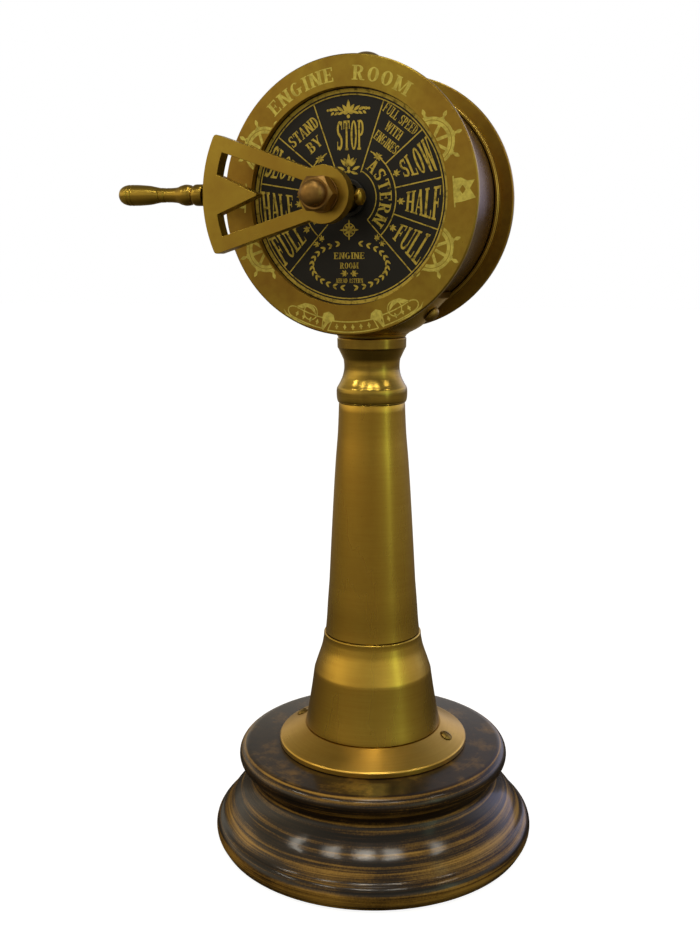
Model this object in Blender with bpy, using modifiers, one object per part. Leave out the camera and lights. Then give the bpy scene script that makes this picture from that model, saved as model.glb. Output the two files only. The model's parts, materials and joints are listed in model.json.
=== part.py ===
"""Ship engine telegraph: a tabletop brass telegraph on a turned wooden base, about 0.36 m tall.

Units are metres and +Z is up. The origin is the centre of the base's underside, on the column's axis,
and the front dial faces -Y. Shapes of the head are drawn in the dial's own plane, X to the right and
Y up, with Z out of the dial, and stand upright because they are parented to the head's empties.
"""
import math

import bmesh
import bpy
from mathutils import Matrix, Vector

MM = 0.001
GAP = 0.3 * MM

# Heights above the table
WOOD_BOTTOM = 1.3 * MM
WOOD_TOP = 46.7 * MM
FLANGE_TOP = 55.6 * MM
BELL_TOP = 100.9 * MM
NECK_BOTTOM = 209.9 * MM
NECK_TOP = 239.1 * MM
HEAD_HEIGHT = 298.5 * MM
CAP_TOP = 360.0 * MM
CAP_FORWARD = 6.0 * MM

# Radii
WOOD_RADIUS = 76.0 * MM
FLANGE_RADIUS = 44.75 * MM
PLATE_RADIUS = 57.0 * MM
DIAL_WINDOW_RADIUS = 44.2 * MM
DIAL_RADIUS = 46.3 * MM
DRUM_RADIUS = 49.9 * MM
DRUM_WALL = 1.7 * MM
SKIRT_RADIUS = 51.1 * MM
ROD_RADIUS = 3.0 * MM

# Distances from the middle of the head, along the shaft
PLATE_FACE = 29.5 * MM
PLATE_BACK = 27.0 * MM
SKIRT_EDGE = 21.4 * MM
DRUM_EDGE = 26.6 * MM
DIAL_FACE = 26.1 * MM
DIAL_BACK = 24.9 * MM
WEB_FACE = 24.6 * MM
WEB_BACK = 22.6 * MM
NEEDLE_PLANE = 36.1 * MM
LEVER_BACK = 48.3 * MM
LEVER_FACE = 54.2 * MM
BOSS_END = 39.6 * MM

# Lever: angle from STOP towards AHEAD at rest, and its outline
LEVER_ANGLE = math.radians(88.5)
LEVER_ARC_RADIUS = 53.9 * MM
LEVER_RIM_WIDTH = 6.1 * MM
LEVER_ARM_WIDTH = 5.1 * MM
LEVER_HALF_ANGLE = math.radians(26.6)
LEVER_HUB_RADIUS = 11.4 * MM
LEVER_TIP_RADIUS = 29.0 * MM
LEVER_TIP_HALF_WIDTH = 8.0 * MM
LEVER_BORE = 3.3 * MM
HANDLE_END = 96.0 * MM

# Bell movement inside the drum
SHAFT_CORE = 5.0 * MM
SHAFT_JOURNAL = 4.0 * MM
SHAFT_END = 64.0 * MM
STAR_RADIUS = 12.0 * MM
STAR_TEETH = 12
GONG_CENTRE = Vector((0.0, 31.0, 0.0)) * MM
GONG_RADIUS = 15.0 * MM
HAMMER_PIVOT = Vector((25.0, 5.0, 0.0)) * MM
HAMMER_HEAD = Vector((19.6, 30.5, 0.0)) * MM
MOVEMENT_PLANE = -11.5 * MM

# Screws
FLANGE_SCREW_RADIUS = 37.0 * MM
FLANGE_SLOPE = math.atan2(6.3, 12.65)
SADDLE_END_ANGLE = math.radians(41.5)
SADDLE_SCREW_SEAT = Vector((27.8, -48.7)) * MM
SADDLE_SCREW_TILT = math.radians(48.5)

FACETS = 36
SMALL_FACETS = 16

BRASS = (0.55, 0.40, 0.13)
AGED_BRASS = (0.36, 0.25, 0.08)
BRIGHT_BRASS = (0.66, 0.47, 0.15)
STEEL = (0.45, 0.45, 0.46)
WOOD = (0.045, 0.025, 0.012)
BLACK = (0.012, 0.012, 0.013)
FELT = (0.03, 0.10, 0.05)


def clear_scene():
    for obj in list(bpy.data.objects):
        bpy.data.objects.remove(obj, do_unlink=True)


def new_collection(name, helper=False):
    collection = bpy.data.collections.new(name)
    bpy.context.scene.collection.children.link(collection)
    collection.hide_render = helper
    return collection


clear_scene()
PARTS = new_collection("ship_engine_telegraph")
CUTTERS = new_collection("cutters")


# ---------------------------------------------------------------- helpers

def material(name, colour, roughness=0.35, metallic=1.0):
    made = bpy.data.materials.get(name)
    if made is None:
        made = bpy.data.materials.new(name)
        made.use_nodes = True
        shader = made.node_tree.nodes["Principled BSDF"]
        shader.inputs["Base Color"].default_value = (*colour, 1.0)
        shader.inputs["Roughness"].default_value = roughness
        shader.inputs["Metallic"].default_value = metallic
    return made


def brass(name):
    return material(name, BRASS)


def add(name, mesh, look=None, parent=None):
    """Puts a mesh in the scene as a part, smooth where it is round."""
    obj = bpy.data.objects.new(name, mesh)
    PARTS.objects.link(obj)
    obj.parent = parent
    if look is not None:
        mesh.materials.append(look)
    mesh.shade_smooth()
    mesh.set_sharp_from_angle(angle=math.radians(35))
    return obj


def make_cutter(obj):
    """Turns a shape into a helper that Boolean modifiers read."""
    for collection in list(obj.users_collection):
        collection.objects.unlink(obj)
    CUTTERS.objects.link(obj)
    obj.hide_render = True
    obj.display_type = "WIRE"
    return obj


def combine(obj, other, operation):
    """Adds an exact Boolean of obj with a helper shape."""
    modifier = obj.modifiers.new(operation.lower() + "_" + other.name, "BOOLEAN")
    modifier.operation = operation
    modifier.object = make_cutter(other)
    modifier.solver = "EXACT"
    return obj


def empty(name, location=(0, 0, 0), rotation=(0, 0, 0), parent=None):
    obj = bpy.data.objects.new(name, None)
    PARTS.objects.link(obj)
    obj.location = location
    obj.rotation_euler = rotation
    obj.parent = parent
    return obj


def arc(centre, radius, start, end, count):
    """Points on an arc from start to end, in degrees, both ends included."""
    points = []
    for i in range(count + 1):
        angle = math.radians(start + (end - start) * i / count)
        points.append((centre[0] + radius * math.cos(angle), centre[1] + radius * math.sin(angle)))
    return points


def mm(*pairs):
    return [(x * MM, y * MM) for x, y in pairs]


def turned(name, outline, look=None, parent=None, facets=FACETS, closed=False):
    """A solid of revolution about Z. The outline holds (radius, height) points, outer side top to bottom."""
    mesh = bpy.data.meshes.new(name)
    count = len(outline)
    edges = [(i, i + 1) for i in range(count - 1)]
    if closed:
        edges.append((count - 1, 0))
    mesh.from_pydata([(r, 0.0, z) for r, z in outline], edges, [])
    obj = add(name, mesh, look, parent)
    screw = obj.modifiers.new("turn", "SCREW")
    screw.steps = facets
    screw.render_steps = facets
    screw.use_merge_vertices = True
    screw.merge_threshold = 0.00001
    screw.use_smooth_shade = True
    return obj


def cylinder(name, radius, low, high, look=None, parent=None, facets=SMALL_FACETS, place=None):
    """A round bar along Z from low to high, moved by the matrix place."""
    mesh = bpy.data.meshes.new(name)
    shape = bmesh.new()
    bmesh.ops.create_cone(
        shape, cap_ends=True, segments=facets, radius1=radius, radius2=radius, depth=high - low,
        matrix=Matrix.Translation((0, 0, (low + high) / 2)),
    )
    if place is not None:
        bmesh.ops.transform(shape, matrix=place, verts=shape.verts)
    shape.to_mesh(mesh)
    shape.free()
    return add(name, mesh, look, parent)


def box(name, size, centre, look=None, parent=None, place=None):
    mesh = bpy.data.meshes.new(name)
    shape = bmesh.new()
    scale = Matrix.Diagonal((*size, 1.0))
    bmesh.ops.create_cube(shape, size=1.0, matrix=Matrix.Translation(centre) @ scale)
    if place is not None:
        bmesh.ops.transform(shape, matrix=place, verts=shape.verts)
    shape.to_mesh(mesh)
    shape.free()
    return add(name, mesh, look, parent)


def ball(name, radius, centre, look=None, parent=None):
    mesh = bpy.data.meshes.new(name)
    shape = bmesh.new()
    bmesh.ops.create_uvsphere(
        shape, u_segments=14, v_segments=8, radius=radius, matrix=Matrix.Translation(centre)
    )
    shape.to_mesh(mesh)
    shape.free()
    return add(name, mesh, look, parent)


def flat_piece(name, outlines, low, high, look=None, parent=None):
    """A plate cut to one or more closed outlines, inner ones being holes, from low to high along Z."""
    curve = bpy.data.curves.new(name + "_outline", "CURVE")
    curve.dimensions = "2D"
    curve.fill_mode = "BOTH"
    curve.extrude = (high - low) / 2
    for outline in outlines:
        spline = curve.splines.new("POLY")
        spline.points.add(len(outline) - 1)
        for point, (x, y) in zip(spline.points, outline):
            point.co = (x, y, 0.0, 1.0)
        spline.use_cyclic_u = True
    return curve_to_part(name, curve, look, parent, Matrix.Translation((0, 0, (low + high) / 2)))


def wire(name, points, radius, look=None, parent=None):
    """A round wire along a list of points."""
    curve = bpy.data.curves.new(name + "_path", "CURVE")
    curve.dimensions = "3D"
    curve.bevel_depth = radius
    curve.bevel_resolution = 1
    curve.use_fill_caps = True
    spline = curve.splines.new("POLY")
    spline.points.add(len(points) - 1)
    for point, place in zip(spline.points, points):
        point.co = (*place, 1.0)
    return curve_to_part(name, curve, look, parent, Matrix.Identity(4))


def curve_to_part(name, curve, look, parent, place):
    """Makes a mesh part from a curve, with its caps welded on."""
    source = bpy.data.objects.new(name + "_source", curve)
    bpy.context.scene.collection.objects.link(source)
    graph = bpy.context.evaluated_depsgraph_get()
    mesh = bpy.data.meshes.new_from_object(source.evaluated_get(graph))
    bpy.data.objects.remove(source, do_unlink=True)
    mesh.name = name
    mesh.materials.clear()
    shape = bmesh.new()
    shape.from_mesh(mesh)
    bmesh.ops.remove_doubles(shape, verts=shape.verts, dist=0.000002)
    bmesh.ops.transform(shape, matrix=place, verts=shape.verts)
    bmesh.ops.recalc_face_normals(shape, faces=shape.faces)
    shape.to_mesh(mesh)
    shape.free()
    return add(name, mesh, look, parent)


def slotted_screw(name, head, shank_radius, length, place, look):
    """A screw whose head sits on Z = 0 and whose shank runs down. head lists the head's outline."""
    screw = turned(name, head + [(shank_radius, 0.0), (shank_radius, -length), (0.0, -length)], look, None, 16)
    top = head[0][1]
    width = head[-1][0]
    combine(screw, box(name + "_slot", (3 * width, 0.9 * MM, 1.4 * MM), (0, 0, top)), "DIFFERENCE")
    for cutter in (screw.modifiers[-1].object,):
        cutter.matrix_world = place
    screw.matrix_world = place
    return screw


# ---------------------------------------------------------------- base and column

def make_base():
    upper_torus = arc((59.4 * MM, WOOD_TOP - 4.7 * MM), 4.7 * MM, 90, -45, 5)
    lower_torus = arc((69.6 * MM, 6.6 * MM), 6.4 * MM, 58, -20, 4)
    outline = [(5.0 * MM, WOOD_TOP)] + upper_torus
    outline += mm((60.3, 37.2), (58.4, 32.5), (59.4, 29.6), (66.2, 21.3), (69.8, 17.3), (71.9, 14.2))
    outline += lower_torus
    outline += [(74.7 * MM, WOOD_BOTTOM), (13.0 * MM, WOOD_BOTTOM), (13.0 * MM, 12.0 * MM), (5.0 * MM, 12.0 * MM)]
    wood = turned("wood_base", outline, material("dark_wood", WOOD, 0.12, 0.0), closed=True)
    turned(
        "felt_pad", mm((0, 1.0), (70, 1.0), (70, 0), (0, 0)), material("green_felt", FELT, 0.95, 0.0), facets=40
    )
    outline = [(FLANGE_RADIUS, 49.3 * MM), (FLANGE_RADIUS, WOOD_TOP + GAP)]
    outline += mm((38.5, 47.0), (38.0, 49.4), (31.0, 52.6), (4.0, 52.6), (4.0, 55.6), (32.4, 55.6))
    flange = turned("foot_flange", outline, brass("flange_brass"), closed=True)
    for side, name in ((1, "flange_screw_right"), (-1, "flange_screw_left")):
        height = FLANGE_TOP - (FLANGE_SCREW_RADIUS - 32.4 * MM) * math.tan(FLANGE_SLOPE)
        place = Matrix.Translation((side * FLANGE_SCREW_RADIUS, 0, height))
        place = place @ Matrix.Rotation(side * FLANGE_SLOPE, 4, "Y") @ Matrix.Translation((0, 0, GAP))
        head = mm((0, 1.3), (1.6, 1.2), (2.7, 0.7), (3.0, 0))
        slotted_screw(name, head, 1.6 * MM, 13 * MM, place, material("screw_brass", AGED_BRASS))
        for body, label in ((flange, "_flange_hole"), (wood, "_wood_hole")):
            combine(body, cylinder(name + label, 1.9 * MM, -14 * MM, 3 * MM, facets=12, place=place), "DIFFERENCE")


def make_column():
    bell = mm((23.1, 100.9), (23.2, 99.6), (23.0, 97.9), (23.7, 94.2), (26.6, 86.3), (27.9, 81.9))
    bell += mm((28.8, 75.5), (32.1, 55.9), (28.6, 55.9), (25.2, 77.0), (15.6, 96.0), (15.6, 104.5))
    bell += mm((18.2, 104.5), (18.4, 100.9))
    turned("column_bell", bell, brass("bell_brass"), closed=True)
    tube = mm((15.1, 209.6), (15.1, 206.0), (17.5, 173.0), (19.3, 142.0), (20.9, 117.0))
    tube += mm((22.2, 101.2), (19.0, 101.2), (17.4, 125.0), (12.4, 206.0), (12.4, 209.6))
    turned("column_tube", tube, brass("column_brass"), closed=True)
    neck = mm((15.3, 239.1), (15.6, 238.6), (15.5, 234.4), (13.5, 230.6), (12.55, 226.6))
    neck += mm((12.8, 223.3), (13.9, 220.0), (15.9, 216.0), (16.1, 213.2), (15.6, 209.9))
    neck += mm((12.1, 209.9), (12.1, 205.9), (3.4, 205.9), (3.4, 239.1))
    turned("neck_collar", neck, brass("neck_brass"), closed=True, facets=28)


def make_tie_rod():
    steel = material("rod_steel", STEEL, 0.4)
    cylinder("tie_rod", ROD_RADIUS, 3.0 * MM, 257.0 * MM, steel, facets=16)
    ring = mm((11.0, 11.7), (11.0, 10.1), (3.3, 10.1), (3.3, 11.7))
    turned("base_washer", ring, material("washer_steel", STEEL, 0.4), closed=True, facets=24)
    for name, low in (("base_nut", 4.6 * MM), ("head_nut", 251.2 * MM)):
        nut = cylinder(name, 5.77 * MM, low, low + 5 * MM, material(name + "_steel", STEEL, 0.4), facets=6)
        combine(nut, cylinder(name + "_bore", 3.3 * MM, low - MM, low + 6 * MM, facets=16), "DIFFERENCE")


# ---------------------------------------------------------------- head

def make_drum(head):
    outline = [(DRUM_RADIUS, DRUM_EDGE), (DRUM_RADIUS, -DRUM_EDGE)]
    outline += [(DRUM_RADIUS - DRUM_WALL, -DRUM_EDGE), (DRUM_RADIUS - DRUM_WALL, DRUM_EDGE)]
    drum = turned("drum_shell", outline, brass("drum_brass"), head, closed=True)
    down = Matrix.Rotation(math.radians(90), 4, "X")
    up = Matrix.Translation((0, 0, CAP_FORWARD)) @ Matrix.Rotation(math.radians(-90), 4, "X")
    for name, radius, place in (("rod", 3.3 * MM, down), ("cap", 2.3 * MM, up)):
        hole = cylinder(name + "_hole", radius, 45 * MM, 53 * MM, facets=16, place=place, parent=head)
        combine(drum, hole, "DIFFERENCE")
    return drum


def make_saddle(head, drum):
    """The cast cup between the neck and the drum, and the two screws that hold the drum in it."""
    foot = HEAD_HEIGHT - NECK_TOP - GAP
    reach = 62 * MM
    end = (reach * math.sin(SADDLE_END_ANGLE), -reach * math.cos(SADDLE_END_ANGLE))
    wedge = [(0, -20 * MM), end, (end[0], -70 * MM), (-end[0], -70 * MM), (-end[0], end[1])]
    saddle = flat_piece("drum_saddle", [wedge], -26.4 * MM, 26.4 * MM, brass("saddle_brass"), head)
    cup = mm((0, -32.0), (44.0, -32.0), (35.4, -41.0), (30.6, -45.6), (26.0, -50.8), (22.8, -54.4), (20.0, -55.8))
    cup += mm((17.2, -57.2), (15.7, -58.3)) + [(15.3 * MM, -foot), (0, -foot)]
    cone = turned("saddle_cup", cup, facets=28)
    cone.parent = head
    cone.rotation_euler = (math.radians(-90), 0, 0)
    combine(saddle, cone, "INTERSECT")
    clear = SKIRT_RADIUS + GAP
    body = DRUM_RADIUS + GAP
    edge = SKIRT_EDGE - GAP
    far = 40 * MM
    bed = [(0, far), (clear, far), (clear, edge), (body, edge), (body, -edge), (clear, -edge), (clear, -far), (0, -far)]
    combine(saddle, turned("saddle_bed", bed, parent=head), "DIFFERENCE")
    place = Matrix.Rotation(math.radians(90), 4, "X")
    bore = cylinder("saddle_rod_bore", 3.4 * MM, 40 * MM, 70 * MM, facets=16, place=place, parent=head)
    combine(saddle, bore, "DIFFERENCE")
    x, y = SADDLE_SCREW_SEAT
    for side, name in ((1, "saddle_screw_right"), (-1, "saddle_screw_left")):
        tilt = Matrix.Rotation(side * (math.pi - SADDLE_SCREW_TILT), 4, "Y")
        place = Matrix.Translation((side * x, 0, HEAD_HEIGHT + y)) @ tilt @ Matrix.Translation((0, 0, GAP))
        head_outline = mm((0, 2.8), (1.6, 2.6), (2.9, 1.9), (3.7, 0.8), (3.8, 0))
        slotted_screw(name, head_outline, 1.7 * MM, 9.5 * MM, place, material("screw_brass", AGED_BRASS))
        for body, label in ((saddle, "_saddle_hole"), (drum, "_drum_hole")):
            hole = cylinder(name + label, 2.0 * MM, -15 * MM, 3 * MM, facets=12, place=place)
            combine(body, hole, "DIFFERENCE")


def make_face(side, parent):
    """Everything fixed at one face of the drum: the bezel plate, the dial, the web behind it and its bush."""
    outline = [(PLATE_RADIUS - 0.6 * MM, PLATE_FACE), (PLATE_RADIUS, PLATE_FACE - 0.6 * MM)]
    outline += [(PLATE_RADIUS, PLATE_BACK + 0.4 * MM), (PLATE_RADIUS - 0.4 * MM, PLATE_BACK)]
    outline += [(SKIRT_RADIUS, PLATE_BACK), (SKIRT_RADIUS, SKIRT_EDGE), (DRUM_RADIUS + GAP, SKIRT_EDGE)]
    outline += [(DRUM_RADIUS + GAP, PLATE_BACK), (DIAL_RADIUS + GAP, PLATE_BACK)]
    outline += [(DIAL_RADIUS + GAP, DIAL_FACE + GAP), (DIAL_WINDOW_RADIUS, DIAL_FACE + GAP)]
    outline += [(DIAL_WINDOW_RADIUS, PLATE_FACE)]
    turned(side + "_plate", outline, material("plate_brass", AGED_BRASS), parent, 40, closed=True)
    hole = 7.1 * MM
    disc = [(DIAL_RADIUS, DIAL_FACE), (DIAL_RADIUS, DIAL_BACK), (hole, DIAL_BACK), (hole, DIAL_FACE)]
    turned(side + "_dial", disc, material("dial_black", BLACK, 0.35, 0.0), parent, closed=True)
    web_radius = DRUM_RADIUS - DRUM_WALL - GAP
    web = [(web_radius, WEB_FACE), (web_radius, WEB_BACK), (hole, WEB_BACK), (hole, WEB_FACE)]
    turned(side + "_web", web, brass("web_brass"), parent, closed=True)
    bush = mm((7.8, 28.4), (7.8, 26.4), (6.8, 26.4), (6.8, 22.0), (6.1, 22.0), (6.1, 28.4))
    turned(side + "_bush", bush, material("bush_black", BLACK, 0.35, 0.0), parent, closed=True, facets=SMALL_FACETS)


def lever_outline():
    """The lever's outer edge in the dial plane, pointing up: the rim arc, two arms and the hub."""
    rim = math.degrees(LEVER_HALF_ANGLE)
    outer = arc((0, 0), LEVER_ARC_RADIUS, 90 - rim, 90 + rim, 14)
    hub = arc((0, 0), LEVER_HUB_RADIUS, 152, 388, 16)
    return outer + hub


def lever_window():
    """The opening between the arms, with the pointed tongue that reads the dial."""
    rim = math.degrees(LEVER_HALF_ANGLE)
    inner = LEVER_ARC_RADIUS - LEVER_RIM_WIDTH
    tongue = math.degrees(math.asin(LEVER_TIP_HALF_WIDTH / inner))
    inset = math.degrees(LEVER_ARM_WIDTH / inner)
    right = arc((0, 0), inner, 90 - rim + inset, 90 - tongue, 4)
    left = arc((0, 0), inner, 90 + tongue, 90 + rim - inset, 4)
    tip = [(0.6 * MM, LEVER_TIP_RADIUS), (-0.6 * MM, LEVER_TIP_RADIUS)]
    return right + tip + left + arc((0, 0), 10.0 * MM, 123, 57, 5)


def make_lever(side, parent):
    """One lever: its cast frame with a boss, its turned grip, and the washer and cap nut that clamp it."""
    name = side + "_lever"
    lever = flat_piece(
        name, [lever_outline(), lever_window()], LEVER_BACK, LEVER_FACE, material("lever_brass", BRIGHT_BRASS), parent
    )
    boss = cylinder(name + "_boss", 7.0 * MM, BOSS_END, LEVER_BACK + MM, parent=parent)
    combine(lever, boss, "UNION")
    bore = cylinder(name + "_bore", LEVER_BORE, BOSS_END - MM, LEVER_FACE + MM, parent=parent)
    combine(lever, bore, "DIFFERENCE")
    radial = Matrix.Translation((0, 0, (LEVER_BACK + LEVER_FACE) / 2)) @ Matrix.Rotation(math.radians(-90), 4, "X")
    socket = cylinder(
        name + "_socket", 1.8 * MM, 48.6 * MM, 56 * MM, parent=parent, facets=12, place=radial
    )
    combine(lever, socket, "DIFFERENCE")
    grip = mm((0, 96.0), (2.6, 95.1), (4.35, 91.3), (4.35, 86.0), (3.95, 81.0), (3.05, 76.0), (2.95, 70.0))
    grip += mm((3.4, 66.4), (4.35, 63.2), (4.1, 60.6), (3.7, 59.4), (4.4, 58.0), (4.4, 54.4), (1.5, 54.4))
    grip += mm((1.5, 49.2), (0, 49.2))
    handle = turned(side + "_handle", grip, material("handle_brass", BRIGHT_BRASS), parent, SMALL_FACETS)
    handle.location = (0, 0, (LEVER_BACK + LEVER_FACE) / 2)
    handle.rotation_euler = (math.radians(-90), 0, 0)
    ring = [(7.2 * MM, LEVER_FACE + 1.1 * MM), (7.2 * MM, LEVER_FACE + GAP), (LEVER_BORE, LEVER_FACE + GAP)]
    ring.append((LEVER_BORE, LEVER_FACE + 1.1 * MM))
    turned(side + "_washer", ring, brass("lever_washer_brass"), parent, closed=True, facets=SMALL_FACETS)
    low = LEVER_FACE + 1.4 * MM
    quarter = Matrix.Rotation(math.radians(90), 4, "Z")
    nut = cylinder(side + "_cap_nut", 7.6 * MM, low, low + 6.2 * MM, brass("nut_brass"), parent, facets=6, place=quarter)
    dome = [(0, low + 11.2 * MM), (2.4 * MM, low + 10.9 * MM), (4.1 * MM, low + 10.0 * MM), (5.0 * MM, low + 8.6 * MM)]
    dome += [(5.3 * MM, low + 6.6 * MM), (5.3 * MM, low + 3 * MM), (0, low + 3 * MM)]
    combine(nut, turned(name + "_dome", dome, parent=parent, facets=20), "UNION")
    blind = cylinder(name + "_blind", LEVER_BORE, low - MM, SHAFT_END + GAP * 2, parent=parent, facets=16)
    combine(nut, blind, "DIFFERENCE")


def make_pointer(side, parent):
    """The reply pointer: a short needle with a knob tail on a sleeve that turns round the shaft."""
    name = side + "_pointer"
    tip = 19.4 * MM
    blade = [(-2.4 * MM, 0), (2.4 * MM, 0), (1.7 * MM, 11.5 * MM), (2.9 * MM, 12.7 * MM), (0, tip)]
    blade += [(-2.9 * MM, 12.7 * MM), (-1.7 * MM, 11.5 * MM)]
    low, high = NEEDLE_PLANE - 0.9 * MM, NEEDLE_PLANE + 0.9 * MM
    pointer = flat_piece(name, [blade], low, high, material("pointer_brass", BRIGHT_BRASS), parent)
    hub = mm((5.6, 38.9), (5.6, 33.6), (5.8, 33.6), (5.8, 22.8), (2.0, 22.8), (2.0, 38.9))
    combine(pointer, turned(name + "_hub", hub, parent=parent, closed=True, facets=SMALL_FACETS), "UNION")
    rod = Matrix.Translation((0, 0, NEEDLE_PLANE)) @ Matrix.Rotation(math.radians(90), 4, "X")
    combine(pointer, cylinder(name + "_tail", 1.1 * MM, 4 * MM, 9 * MM, parent=parent, facets=10, place=rod), "UNION")
    knob = mm((0, 11.2), (1.8, 10.9), (3.1, 10.1), (3.5, 9.0), (3.1, 7.9), (1.8, 7.1), (0, 6.9))
    tail_end = turned(name + "_knob", knob, parent=parent, facets=SMALL_FACETS)
    tail_end.rotation_euler = (math.radians(90), 0, 0)
    tail_end.location = (0, 0, NEEDLE_PLANE)
    combine(pointer, tail_end, "UNION")
    bore = cylinder(name + "_bore", SHAFT_JOURNAL + GAP, 20 * MM, 40 * MM, parent=parent)
    combine(pointer, bore, "DIFFERENCE")


def make_shaft(parent):
    half = [(0, SHAFT_END), (ROD_RADIUS, SHAFT_END), (ROD_RADIUS, 39.3 * MM), (SHAFT_JOURNAL, 39.3 * MM)]
    half += [(SHAFT_JOURNAL, 21 * MM), (SHAFT_CORE, 21 * MM)]
    outline = half + [(r, -z) for r, z in reversed(half)]
    turned("main_shaft", outline, material("shaft_steel", STEEL, 0.3), parent, SMALL_FACETS)
    points = []
    for i in range(STAR_TEETH * 2):
        radius = STAR_RADIUS if i % 2 == 0 else STAR_RADIUS - 3 * MM
        angle = math.pi * i / STAR_TEETH
        points.append((radius * math.cos(angle), radius * math.sin(angle)))
    hole = arc((0, 0), SHAFT_CORE + GAP, 0, 345, 23)
    low, high = MOVEMENT_PLANE - 1.5 * MM, MOVEMENT_PLANE + 1.5 * MM
    flat_piece("star_wheel", [points, hole], low, high, brass("star_brass"), parent)


def make_bell(head):
    """The gong on its post, and its screw, inside the top of the drum."""
    place = Matrix.Translation(GONG_CENTRE)
    cup = [(3.0, -6.4), (8.0, -6.6), (12.6, -8.6), (14.6, -11.5), (15.0, -15.5), (14.2, -15.5), (13.8, -12.0)]
    cup += [(12.0, -9.6), (7.8, -7.6), (3.0, -7.4)]
    gong = turned("bell_gong", mm(*cup), material("bell_bronze", BRIGHT_BRASS, 0.25), head, 24, closed=True)
    gong.location = place.to_translation()
    post = mm((2.4, -7.9), (2.4, -22.3), (0, -22.3), (0, -17.0), (0, -7.9))
    pillar = turned("bell_post", [post[4], post[0], post[1], post[2]], brass("post_brass"), head, 16)
    pillar.location = place.to_translation()
    combine_hole = cylinder("bell_post_bore", 1.4 * MM, -16 * MM, -6 * MM, parent=head, facets=12, place=place)
    combine(pillar, combine_hole, "DIFFERENCE")
    screw = mm((0, -4.4), (2.6, -4.6), (4.2, -5.9), (4.2, -6.1), (1.1, -6.1), (1.1, -15.0), (0, -15.0))
    top = turned("bell_screw", screw, brass("bell_screw_brass"), head, 16)
    top.location = place.to_translation()


def make_hammer(head, pivot):
    """The hammer that the star wheel trips, on its pin, with the coil spring that returns it."""
    centre = HAMMER_PIVOT
    low, high = MOVEMENT_PLANE - 1.2 * MM, MOVEMENT_PLANE + 1.2 * MM
    reach = HAMMER_HEAD - centre
    across = Vector((-reach.y, reach.x, 0)).normalized()
    tail = Vector((13.0, 1.4, 0)) * MM - centre
    tail_across = Vector((-tail.y, tail.x, 0)).normalized()
    arm = [across * 1.5 * MM, reach + across * 1.2 * MM, reach - across * 1.2 * MM, across * -1.5 * MM]
    claw = [tail_across * 2.0 * MM, tail + tail_across * 0.6 * MM, tail - tail_across * 0.6 * MM]
    claw.append(tail_across * -2.0 * MM)
    look = material("hammer_brass", AGED_BRASS)
    hammer = flat_piece("bell_hammer", [[(p.x, p.y) for p in arm]], low, high, look, pivot)
    combine(hammer, flat_piece("hammer_claw", [[(p.x, p.y) for p in claw]], low, high, parent=pivot), "UNION")
    eye = cylinder("hammer_eye", 3.2 * MM, low - 0.5 * MM, high + 0.5 * MM, parent=pivot, facets=16)
    combine(hammer, eye, "UNION")
    head_ball = ball("hammer_ball", 3.2 * MM, (reach.x, reach.y, MOVEMENT_PLANE), parent=pivot)
    combine(hammer, head_ball, "UNION")
    bore = cylinder("hammer_bore", 1.8 * MM, low - 2 * MM, high + 2 * MM, parent=pivot, facets=16)
    combine(hammer, bore, "DIFFERENCE")
    pin = mm((0, -7.2), (2.6, -7.2), (2.6, -8.6), (1.5, -8.6), (1.5, -22.3), (0, -22.3))
    made = turned("hammer_pin", pin, material("pin_steel", STEEL, 0.3), head, 16)
    made.location = centre
    coil = []
    turns = 4
    per_turn = 10
    for i in range(turns * per_turn + 1):
        angle = 2 * math.pi * i / per_turn
        height = -21.6 * MM + 6.6 * MM * i / (turns * per_turn)
        coil.append((2.7 * MM * math.cos(angle), 2.7 * MM * math.sin(angle), height))
    spring = wire("hammer_spring", coil, 0.45 * MM, material("spring_steel", STEEL, 0.3), head)
    spring.location = centre


def make_cap():
    """The domed cap on top of the drum, a little forward of its middle."""
    base = HEAD_HEIGHT + DRUM_RADIUS + 2 * GAP
    outline = arc((0, CAP_TOP - 10 * MM), 10 * MM, 90, 45, 3)
    outline += [(7.5 * MM, CAP_TOP - 3.6 * MM), (7.5 * MM, CAP_TOP - 4.6 * MM), (4.2 * MM, CAP_TOP - 5.8 * MM)]
    outline += [(4.2 * MM, base + 2.0 * MM), (6.4 * MM, base + 1.2 * MM), (6.4 * MM, base)]
    outline += [(2.0 * MM, base), (2.0 * MM, base - 6 * MM), (0, base - 6 * MM)]
    cap = turned("vent_cap", outline, brass("cap_brass"), facets=20)
    cap.location = (0, -CAP_FORWARD, 0)


def main():
    upright = math.radians(90)
    head = empty("head_front", (0, 0, HEAD_HEIGHT), (upright, 0, 0))
    rear = empty("head_rear", (0, 0, HEAD_HEIGHT), (upright, 0, math.pi))
    front_lever = empty("front_lever_axis", rotation=(0, 0, LEVER_ANGLE), parent=head)
    rear_lever = empty("rear_lever_axis", rotation=(0, 0, -LEVER_ANGLE), parent=rear)
    hammer_axis = empty("hammer_axis", HAMMER_PIVOT, parent=head)
    bpy.context.view_layer.update()
    make_base()
    make_column()
    make_tie_rod()
    drum = make_drum(head)
    make_saddle(head, drum)
    make_shaft(front_lever)
    for side, face, axis in (("front", head, front_lever), ("rear", rear, rear_lever)):
        make_face(side, face)
        make_lever(side, axis)
        make_pointer(side, axis)
    make_bell(head)
    make_hammer(head, hammer_axis)
    make_cap()


main()
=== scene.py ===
"""Looks for a ship engine telegraph: turned brass column and drum, printed dials, levers and a varnished base.

It runs inside Blender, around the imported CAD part. Outlines, prints, places and bevels are written in
millimetres and become metres where a mesh or a matrix is made. Angles in the dial's plane are degrees
clockwise from the top, as a reader of the dial sees them.
"""

import json
import math

import bmesh
import bpy
from mathutils import Matrix, Vector


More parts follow.
